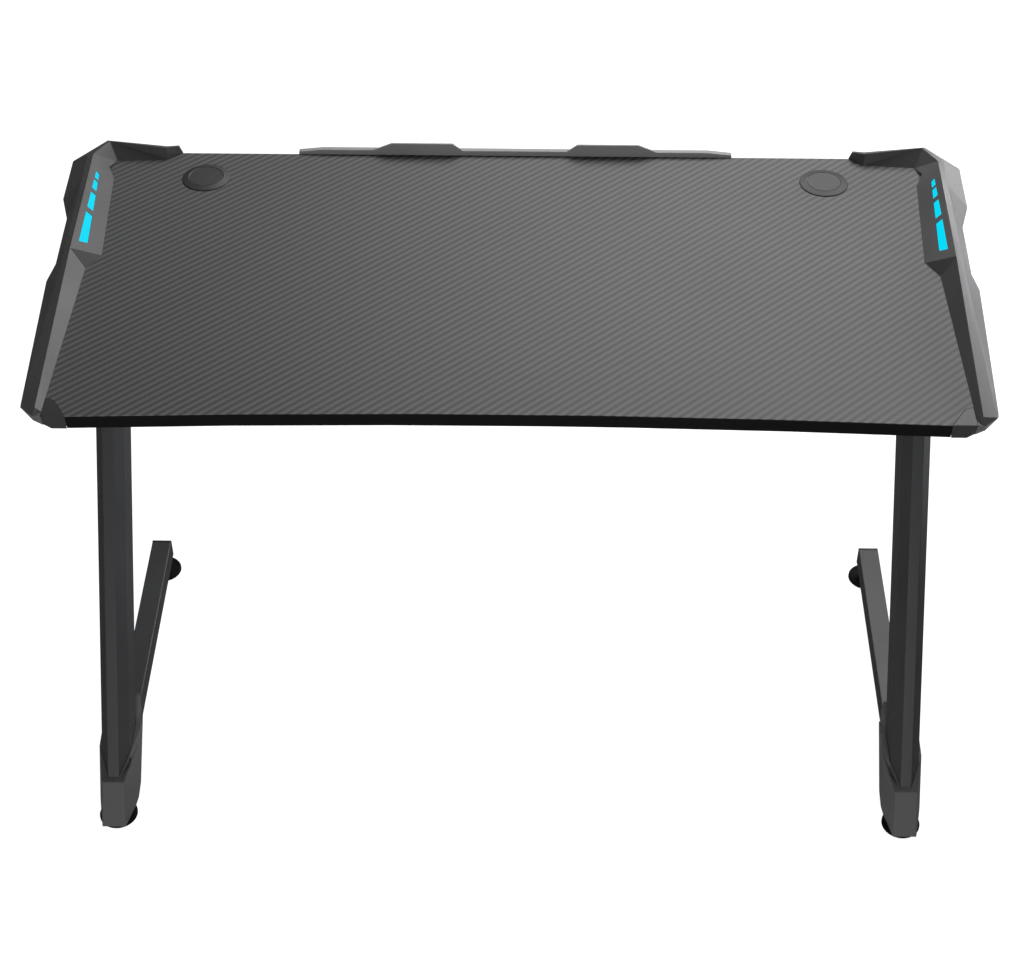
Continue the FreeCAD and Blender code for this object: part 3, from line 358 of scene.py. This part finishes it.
for end in ("front", "rear"):
    for side in sides:
        node = "levelling_foot_" + end + "_" + side
        low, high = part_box(node)
        center = Vector(((low.x + high.x) / 2, (low.y + high.y) / 2, low.z))
        pad_radius = (high.x - low.x) / 2
        pad = (
            (0.0, 0.0), (pad_radius - 0.003, 0.0), (pad_radius - 0.0012, 0.0006),
            (pad_radius, 0.0022), (pad_radius, 0.0048), (pad_radius - 0.0008, 0.0064),
            (pad_radius - 0.0026, pad_height),
        )
        groove = (
            (0.0215, pad_height), (0.0208, groove_floor), (0.0200, groove_floor),
            (0.0193, pad_height),
        )
        hub = (
            (0.0125, pad_height), (0.0102, 0.0082), (hub_radius, 0.0100),
            (hub_radius, hub_top - hub_rounding), (hub_radius - hub_rounding, hub_top),
        )
        stem = (
            (stem_core, hub_top), (stem_core, stem_top - stem_chamfer),
            (stem_core - stem_chamfer, stem_top), (0.0, stem_top),
        )
        shape = bmesh.new()
        spun(shape, pad + groove + hub + stem, center)
        thread(shape, center, center.z + thread_start, center.z + thread_end)
        put_on("foot_pad_" + end + "_" + side, shape, "foot_" + end + "_" + side, "foot_black",
               foot_finish, node)


def metal(name, colour, rough, stretch=(1.0, 1.0, 1.0)):
    """Plated or turned metal with fine tool lines and uneven gloss."""
    finish, shader = start_finish(name, metallic=1.0)
    lines = noise(finish, 900.0, stretch=stretch)
    broad = noise(finish, 60.0, detail=3.0)
    body = ramp(finish, broad, (0.3, shaded(colour, 0.82)), (0.7, shaded(colour, 1.08)))
    join(finish, body, shader.inputs["Base Color"])
    gloss = spread(finish, lines, rough - 0.08, rough + 0.1)
    join(finish, gloss, shader.inputs["Roughness"])
    relief(finish, shader, lines, 0.00004, strength=0.6)
    return finish


brass_finish = metal("turned_brass", (0.70, 0.55, 0.28), rough=0.3, stretch=(1.0, 1.0, 6.0))
dress("foot_bushes_turned", "foot_bushes", "bush_brass", brass_finish, bush_edge, steps=1)

# Cross beams under the board: square tubes with welded end plates, painted like the legs.
# Socket bolts and nuts clamp each plate to a top rail, so the frame ships flat.
plate_edge = 0.0008
nut_edge = 0.0004
beam_bead = 0.0024
beam_bead_inset = 0.002
beads = bmesh.new()
for place in ("front", "rear"):
    beam = "cross_beam_" + place
    dress(beam + "_tube", beam, "frame_paint", frame_paint, tube_corner, steps=3)
    low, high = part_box(beam)
    for x in (low.x, high.x):
        for y in (low.y, high.y):
            weld_bead(beads, Vector((x, y, low.z + beam_bead_inset)),
                      Vector((x, y, high.z - beam_bead_inset)), beam_bead)
bmesh.ops.recalc_face_normals(beads, faces=beads.faces[:])
put_on("beam_welds", beads, "desk", "frame_paint", frame_paint)
dress("beam_end_plates_cut", "beam_end_plates", "frame_paint", frame_paint, plate_edge)
fastener_finish = metal("zinc_plated_steel", (0.50, 0.50, 0.49), rough=0.34)


def islands(node):
    """The boxes of a node's separate solids, as (low, high) corners."""
    shape = outline(node)
    boxes = []
    waiting = set(shape.verts)
    while waiting:
        reach = [waiting.pop()]
        found = []
        while reach:
            vert = reach.pop()
            found.append(vert.co.copy())
            for edge in vert.link_edges:
                other = edge.other_vert(vert)
                if other in waiting:
                    waiting.remove(other)
                    reach.append(other)
        boxes.append((Vector([min(co[i] for co in found) for i in range(3)]),
                      Vector([max(co[i] for co in found) for i in range(3)])))
    shape.free()
    return boxes


def fastener(shape, base, way, length, head_radius, head, shank_radius, drive):
    """A bolt or screw whose head starts at base, with a hex or a cross drive."""
    made = bmesh.new()
    dome = head * 0.35
    mouth_radius = head_radius * 0.52
    profile = (
        (mouth_radius, 0.0), (head_radius * 0.8, dome * 0.35), (head_radius, dome),
        (head_radius, head), (shank_radius, head), (shank_radius, length - shank_radius * 0.4),
        (shank_radius * 0.6, length), (0.0, length),
    )
    spun(made, profile, Vector(), steps=36)
    rim = [edge for edge in made.edges if edge.is_boundary]
    mouth = bmesh.ops.contextual_create(made, geom=rim)["faces"]
    bmesh.ops.inset_region(made, faces=mouth, thickness=head_radius * 0.04, use_even_offset=True)
    sixth = math.tau / 6
    for vert in [vert for face in mouth for vert in face.verts]:
        angle = math.atan2(vert.co.y, vert.co.x)
        if drive == "hex":
            part = (angle % sixth) - sixth / 2
            reach = head_radius * 0.42 * math.cos(sixth / 2) / math.cos(part)
        else:
            part = abs(math.cos(2.0 * angle))
            reach = head_radius * (0.14 + 0.34 * part ** 6)
        vert.co = Vector((math.cos(angle) * reach, math.sin(angle) * reach, vert.co.z))
    sunk = bmesh.ops.extrude_face_region(made, geom=mouth)["geom"]
    moved = [item for item in sunk if isinstance(item, bmesh.types.BMVert)]
    bmesh.ops.translate(made, verts=moved, vec=(0.0, 0.0, head * 0.6))
    bmesh.ops.delete(made, geom=mouth, context="FACES_ONLY")
    bmesh.ops.recalc_face_normals(made, faces=made.faces[:])
    turn = Vector((0.0, 0.0, 1.0)).rotation_difference(Vector(way)).to_matrix().to_4x4()
    bmesh.ops.transform(made, matrix=Matrix.Translation(base) @ turn, verts=made.verts[:])
    loose = bpy.data.meshes.new("one_fastener")
    made.to_mesh(loose)
    made.free()
    shape.from_mesh(loose)
    bpy.data.meshes.remove(loose)


def fasteners(name, node, axis, drive, head_radius, head, shank_radius):
    """Bolts or screws with drives in place of a node's plain ones.

    The axis is the way that those on the right are driven; the left ones mirror it.
    """
    shape = bmesh.new()
    for low, high in islands(node):
        outward = math.copysign(1.0, low.x)
        way = Vector((axis[0] * outward, axis[1], axis[2]))
        base = (low + high) / 2
        length = 0.0
        for i in range(3):
            if way[i]:
                base[i] = low[i] if way[i] > 0 else high[i]
                length = high[i] - low[i]
        fastener(shape, base, way, length, head_radius, head, shank_radius, drive)
    put_on(name, shape, "desk", "fastener_steel", fastener_finish, node)


fasteners("beam_socket_bolts", "beam_bolts", (1.0, 0.0, 0.0), "hex", head_radius=0.005,
          head=0.004, shank_radius=0.003)
dress("beam_hex_nuts", "beam_nuts", "fastener_steel", fastener_finish, nut_edge)

# Bolts that hold the board: socket bolts pass up through the top rails.
# They bite into threaded brass inserts pressed into the board from below.
insert_edge = 0.0003
fasteners("desktop_socket_bolts", "desktop_bolts", (0.0, 0.0, 1.0), "hex", head_radius=0.006,
          head=0.0035, shank_radius=0.003)
dress("desktop_inserts_turned", "desktop_inserts", "bush_brass", brass_finish, insert_edge,
      steps=1)

# Desktop board: pressed wood chips between two dark papers.
# A black strip is glued along its back edge, and the chips show in the drilled holes.
paper_grey = (0.028, 0.028, 0.029)
strip_black = (0.006, 0.006, 0.0065)
skin = 0.0004
chip_colours = ((0.20, 0.14, 0.085), (0.36, 0.27, 0.175), (0.50, 0.40, 0.28))
chips_per_metre = 420.0
chip_squash = (0.45, 0.45, 1.6)
board_low, board_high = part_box("desktop_board")
board_finish, shader = start_finish("pressed_chip_board", specular=0.3)
place = add_node(board_finish, "ShaderNodeTexCoord")
flatten = add_node(board_finish, "ShaderNodeMapping")
flatten.inputs["Scale"].default_value = chip_squash
chips = add_node(board_finish, "ShaderNodeTexVoronoi")
chips.inputs["Scale"].default_value = chips_per_metre
join(board_finish, place.outputs["Object"], flatten.inputs["Vector"])
join(board_finish, flatten.outputs["Vector"], chips.inputs["Vector"])
tone = add_node(board_finish, "ShaderNodeSeparateColor")
join(board_finish, chips.outputs["Color"], tone.inputs["Color"])
wood = ramp(board_finish, tone.outputs["Red"], *zip((0.1, 0.5, 0.9), chip_colours))
levels = add_node(board_finish, "ShaderNodeSeparateXYZ")
join(board_finish, place.outputs["Object"], levels.inputs["Vector"])
inside = add_node(board_finish, "ShaderNodeMath", operation="COMPARE")
inside.inputs[1].default_value = (board_low.z + board_high.z) / 2
inside.inputs[2].default_value = (board_high.z - board_low.z) / 2 - skin
join(board_finish, levels.outputs["Z"], inside.inputs[0])
paper = ramp(board_finish, noise(board_finish, 140.0, detail=4.0),
             (0.3, shaded(paper_grey, 0.85)), (0.7, shaded(paper_grey, 1.15)))
back_edge = add_node(board_finish, "ShaderNodeMath", operation="GREATER_THAN")
back_edge.inputs[1].default_value = board_high.y - skin
join(board_finish, levels.outputs["Y"], back_edge.inputs[0])
core = blend(board_finish, inside.outputs["Value"], paper, wood)
covered = blend(board_finish, back_edge.outputs["Value"], core, strip_black)
join(board_finish, covered, shader.inputs["Base Color"])
gloss = spread(board_finish, noise(board_finish, 300.0), 0.6, 0.8)
join(board_finish, gloss, shader.inputs["Roughness"])
relief(board_finish, shader, chips.outputs["Distance"], 0.0002, strength=0.5)
put_on("desktop_board_sawn", outline("desktop_board"), "desk", "board_core", board_finish,
       "desktop_board")

# Laminate on the board: a printed and embossed foil with a twill weave look.
# Tows a little over 3 mm wide cross over and under by twos, which draws the diagonal bands.
tow_across = 0.00332
tow_along = 0.003185
weave_dark = (0.0595, 0.060, 0.0615)
weave_light = (0.149, 0.150, 0.152)
smooth_share = 0.32
stepped_share = 0.2
thread_share = 0.07
weave_height = 0.00012
weave_finish, shader = start_finish("twill_laminate")
place = add_node(weave_finish, "ShaderNodeTexCoord")
parts = add_node(weave_finish, "ShaderNodeSeparateXYZ")
join(weave_finish, place.outputs["Object"], parts.inputs["Vector"])


def weave_math(operation, first, second=None):
    """A sum in the weave's material, on sockets or plain numbers."""
    node = add_node(weave_finish, "ShaderNodeMath", operation=operation)
    for source, slot in ((first, node.inputs[0]), (second, node.inputs[1])):
        if isinstance(source, float):
            slot.default_value = source
        elif source is not None:
            join(weave_finish, source, slot)
    return node.outputs["Value"]


def twill_wave(steps):
    """Light and dark bands that repeat every four tows."""
    return weave_math("COSINE", weave_math("MULTIPLY", steps, math.tau / 4))


column_count = weave_math("DIVIDE", parts.outputs["X"], tow_across)
row_count = weave_math("DIVIDE", parts.outputs["Y"], tow_along)
smooth_band = twill_wave(weave_math("SUBTRACT", column_count, row_count))
whole_steps = weave_math("SUBTRACT", weave_math("FLOOR", column_count),
                         weave_math("FLOOR", row_count))
stepped_band = twill_wave(weave_math("ADD", whole_steps, 0.5))
bands = weave_math("ADD", weave_math("MULTIPLY", smooth_band, smooth_share),
                   weave_math("MULTIPLY", stepped_band, stepped_share))
threads = spread(weave_finish, noise(weave_finish, 700.0, stretch=(1.0, 0.25, 1.0)),
                 -thread_share, thread_share)
weave = weave_math("ADD", bands, weave_math("ADD", threads, 0.5))
join(weave_finish, ramp(weave_finish, weave, (0.08, weave_dark), (0.92, weave_light)),
     shader.inputs["Base Color"])
gloss = spread(weave_finish, noise(weave_finish, 5.0, detail=4.0), 0.53, 0.55)
join(weave_finish, gloss, shader.inputs["Roughness"])
relief(weave_finish, shader, weave, weave_height, strength=0.5)
put_on("desktop_laminate_foil", outline("desktop_laminate"), "desk", "laminate", weave_finish,
       "desktop_laminate")

# Band along the bowed front edge: 2 mm black plastic edging, glued on hot.
# Its long edges are scraped to a small radius.
band_edge = 0.0003
band_finish = grained("edge_band_black", (0.0035, 0.0035, 0.004), rough=0.5, grain=600.0,
                      depth=0.00004, edge_highlight=1.6, specular=0.25)
dress("front_edge_band_glued", "front_edge_band", "edge_band", band_finish, band_edge,
      least_angle=40.0)

# Side covers and front corner caps: faceted shells moulded in fine-textured dark grey plastic.
# Screws from below pull the covers onto the board, and the caps close its front corners.
cover_edge = 0.0006
cap_edge = 0.0004
cover_finish = grained("cover_textured_plastic", (0.110, 0.110, 0.114), rough=0.46, grain=820.0,
                       depth=0.0001, edge_highlight=1.16)
cap_finish = grained("cap_textured_plastic", (0.034, 0.034, 0.036), rough=0.46, grain=820.0,
                     depth=0.0001, edge_highlight=1.16)
for side in sides:
    dress("side_cover_moulded_" + side, "side_cover_" + side, "cover_plastic", cover_finish,
          cover_edge, least_angle=9.0, merge=0.00025, crease=8.0)
    dress("front_corner_cap_moulded_" + side, "front_corner_cap_" + side, "cover_plastic",
          cap_finish, cap_edge, least_angle=9.0, crease=4.0)
fasteners("cover_cross_screws", "cover_screws", (0.0, 0.0, 1.0), "cross", head_radius=0.0036,
          head=0.0026, shank_radius=0.0016)

# Lamps in the covers: milky diffusers fill the four windows on each side.
# Small boards with one light chip for each window sit behind them.
lens_edge = 0.0003
circuit_edge = 0.0001
lamp_cyan = (0.0, 0.735, 0.98)
solder_grey = (0.62, 0.6, 0.55)
mask_dark = (0.02, 0.11, 0.05)
mask_green = (0.03, 0.17, 0.075)
pads_per_metre = 260.0
lens_finish, shader = start_finish("milky_lamp_lens", specular=0.05)
shader.inputs["Base Color"].default_value = (0.0, 0.02, 0.025, 1.0)
shader.inputs["Emission Strength"].default_value = 1.0
glow = ramp(lens_finish, noise(lens_finish, 45.0, detail=3.0),
            (0.25, shaded(lamp_cyan, 0.93)), (0.75, lamp_cyan))
join(lens_finish, glow, shader.inputs["Emission Color"])
gloss = spread(lens_finish, noise(lens_finish, 500.0), 0.25, 0.4)
join(lens_finish, gloss, shader.inputs["Roughness"])
circuit_finish, shader = start_finish("circuit_solder_mask")
place = add_node(circuit_finish, "ShaderNodeTexCoord")
pads = add_node(circuit_finish, "ShaderNodeTexVoronoi", distance="CHEBYCHEV")
pads.inputs["Scale"].default_value = pads_per_metre
join(circuit_finish, place.outputs["Object"], pads.inputs["Vector"])
tracks = ramp(circuit_finish, pads.outputs["Distance"], (0.1, solder_grey), (0.16, mask_dark),
              (0.5, mask_green))
join(circuit_finish, tracks, shader.inputs["Base Color"])
gloss = spread(circuit_finish, noise(circuit_finish, 200.0), 0.3, 0.42)
join(circuit_finish, gloss, shader.inputs["Roughness"])
relief(circuit_finish, shader, pads.outputs["Distance"], 0.0001, strength=0.4)
for side in sides:
    dress("lamp_lens_" + side, "lamp_diffuser_" + side, "lens", lens_finish, lens_edge, steps=1,
          least_angle=40.0)
    dress("lamp_circuit_" + side, "lamp_light_board_" + side, "circuit", circuit_finish,
          circuit_edge, steps=1, least_angle=40.0)

# Raised trim behind the board: a bar with two low humps, moulded in textured plastic.
# Four cross-head screws in counterbores hold it to the back edge.
trim_edge = 0.0008
# The trim's pale grey is painted light, standing in for light that falls on its front face.
trim_painted_light_finish = grained("trim_plastic_painted_light", (0.44, 0.44, 0.445), rough=0.48, grain=820.0,
                      depth=0.0001, edge_highlight=1.2)
dress("rear_trim_moulded", "rear_trim", "trim_plastic", trim_painted_light_finish, trim_edge, least_angle=12.0,
      merge=0.0001, crease=20.0)
fasteners("rear_trim_cross_screws", "rear_trim_screws", (0.0, -1.0, 0.0), "cross",
          head_radius=0.004, head=0.0024, shank_radius=0.002)

# Cable hole fittings: a flanged sleeve is pressed into the board on each side.
# A lift-off lid with a sloped rim rests over the flange, moulded in textured plastic.
sleeve_edge = 0.0004
lid_recess = 0.0012
lid_recess_radius = 0.0303
lid_sink = 0.0003
groove_sink = 0.0006
grommet_finish = grained("cable_fitting_plastic", (0.047, 0.047, 0.049), rough=0.5, grain=820.0,
                         depth=0.0001, edge_highlight=1.2)
for side in sides:
    node = "cable_lid_" + side
    low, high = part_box(node)
    center = Vector(((low.x + high.x) / 2, (low.y + high.y) / 2, low.z))
    edge = (high.x - low.x) / 2
    top = high.z - low.z
    underside = (
        (0.0, lid_recess), (lid_recess_radius, lid_recess), (lid_recess_radius, 0.0002),
        (0.0306, 0.0),
    )
    rim = (
        (edge - 0.0004, 0.0), (edge, 0.0004), (edge, 0.0012), (edge - 0.0002, 0.0015),
        (edge - 0.0008, 0.0018),
    )
    bead = (
        (0.0246, top - 0.0003), (0.0241, top - 0.0001), (0.0237, top), (0.0233, top - 0.0001),
        (0.0230, top - 0.0004),
    )
    cap = (
        (0.0226, top - groove_sink), (0.0221, top - groove_sink), (0.0217, top - lid_sink),
        (0.0, top - lid_sink),
    )
    shape = bmesh.new()
    spun(shape, underside + rim + bead + cap, center, steps=96)
    put_on("cable_lid_moulded_" + side, shape, node, "grommet_plastic", grommet_finish, node)
    sleeve = "cable_sleeve_" + side
    dress(sleeve + "_moulded", sleeve, "grommet_plastic", grommet_finish, sleeve_edge,
          least_angle=40.0)

# Lamp controller under the board: a black plastic box with ears, screwed up into the board.
# It holds a small circuit, a round push button at the front and a supply inlet at the back.
case_edge = 0.0007
board_edge = 0.0002
button_edge = 0.0006
inlet_edge = 0.0003
box_finish = grained("controller_black_plastic", (0.03, 0.03, 0.032), rough=0.5, grain=900.0,
                     depth=0.00008, edge_highlight=1.7)
dress("controller_case", "controller_box", "box_plastic", box_finish, case_edge,
      least_angle=40.0)
dress("controller_board", "controller_circuit", "circuit", circuit_finish, board_edge, steps=1,
      least_angle=40.0)
dress("lamp_push_button", "controller_button", "box_plastic", box_finish, button_edge, steps=3,
      least_angle=40.0, body="lamp_button")
dress("controller_supply_inlet", "controller_inlet", "plug_plastic", plug_finish, inlet_edge,
      least_angle=40.0)
fasteners("controller_cross_screws", "controller_screws", (0.0, 0.0, 1.0), "cross",
          head_radius=0.0038, head=0.0024, shank_radius=0.0018)

# Lamp leads: round black leads that run along the board's underside to each cover.
# Moulded clips stuck to the board keep them straight.
clip_edge = 0.0006
lead_finish = grained("lead_black_sheath", (0.015, 0.015, 0.016), rough=0.55, grain=1400.0,
                      depth=0.00005, edge_highlight=1.0)
for side in sides:
    lead = "lamp_lead_" + side
    put_on("lamp_lead_sheathed_" + side, outline(lead), "desk", "lead_sheath", lead_finish, lead)
dress("lead_clips_moulded", "lead_clips", "plug_plastic", plug_finish, clip_edge,
      least_angle=40.0)

# Studio: a wide pale floor in a white surround, with soft lights behind the desk, at both
# sides and in front. The camera stands in front and looks down, as in the photograph.
floor_half = 9.0
floor_grey = (0.40, 0.40, 0.40, 1.0)
white = (1.0, 1.0, 1.0, 1.0)
surround_light = 0.02
camera_tilt = 41.66
camera_turn = 0.93
floor_mesh = bpy.data.meshes.new("studio_floor")
shape = bmesh.new()
bmesh.ops.create_grid(shape, x_segments=1, y_segments=1, size=floor_half)
shape.to_mesh(floor_mesh)
shape.free()
floor = bpy.data.objects.new("studio_floor", floor_mesh)
bpy.context.scene.collection.objects.link(floor)
floor_finish, shader = start_finish("pale_floor", specular=0.1)
shader.inputs["Base Color"].default_value = floor_grey
shader.inputs["Roughness"].default_value = 0.9
shader.inputs["Emission Color"].default_value = white
shader.inputs["Emission Strength"].default_value = 0.95
floor_mesh.materials.append(floor_finish)
floor.visible_glossy = False


def soft_light(name, place, target, size, power, beam=180.0):
    """A panel of light at a place, turned towards its target."""
    lamp = bpy.data.lights.new(name, "AREA")
    lamp.shape = "RECTANGLE"
    lamp.size, lamp.size_y = size
    lamp.energy = power
    lamp.spread = math.radians(beam)
    stand = bpy.data.objects.new(name, lamp)
    stand.location = place
    aim = Vector(target) - Vector(place)
    stand.rotation_euler = aim.to_track_quat("-Z", "Y").to_euler()
    bpy.context.scene.collection.objects.link(stand)
    return stand


soft_light("key_light", (0.6, 1.5, 2.3), (0.0, 0.0, 0.75), size=(1.9, 1.4), power=41.0)
soft_light("back_light", (-0.9, 1.2, 2.2), (-0.3, 0.0, 0.75), size=(1.6, 1.2), power=2.0)
soft_light("side_light", (2.2, 2.4, 1.1), (0.0, 0.1, 0.75), size=(1.2, 0.6), power=28.0)
low_stand = soft_light("low_light", (1.9, 0.55, 0.5), (0.6, 0.0, 0.78), size=(0.6, 0.2),
                       power=5.0, beam=40.0)
low_stand.visible_glossy = False
soft_light("front_light", (0.1, -3.4, 1.1), (0.0, 0.0, 0.4), size=(2.4, 1.4), power=30.0)
soft_light("left_light", (-2.4, -2.6, 0.7), (0.0, 0.0, 0.35), size=(1.2, 1.0), power=6.0)

surround = bpy.data.worlds.new("white_surround")
surround.use_nodes = True
backdrop = surround.node_tree.nodes["Background"]
backdrop.inputs["Color"].default_value = white
rays = add_node(surround, "ShaderNodeLightPath")
strength = add_node(surround, "ShaderNodeMapRange")
strength.inputs["To Min"].default_value = surround_light
strength.inputs["To Max"].default_value = 1.0
join(surround, rays.outputs["Is Camera Ray"], strength.inputs["Value"])
join(surround, strength.outputs["Result"], backdrop.inputs["Strength"])
bpy.context.scene.world = surround
bpy.context.scene.view_settings.view_transform = "Standard"

lens = bpy.data.cameras.new("photo_camera")
lens.sensor_fit = "HORIZONTAL"
lens.sensor_width = 36.0
lens.lens = 68.6
camera = bpy.data.objects.new("photo_camera", lens)
camera.location = (0.033, -2.009, 2.181)
camera.rotation_euler = (math.radians(90.0 - camera_tilt), 0.0, math.radians(camera_turn))
bpy.context.scene.collection.objects.link(camera)
bpy.context.scene.camera = camera
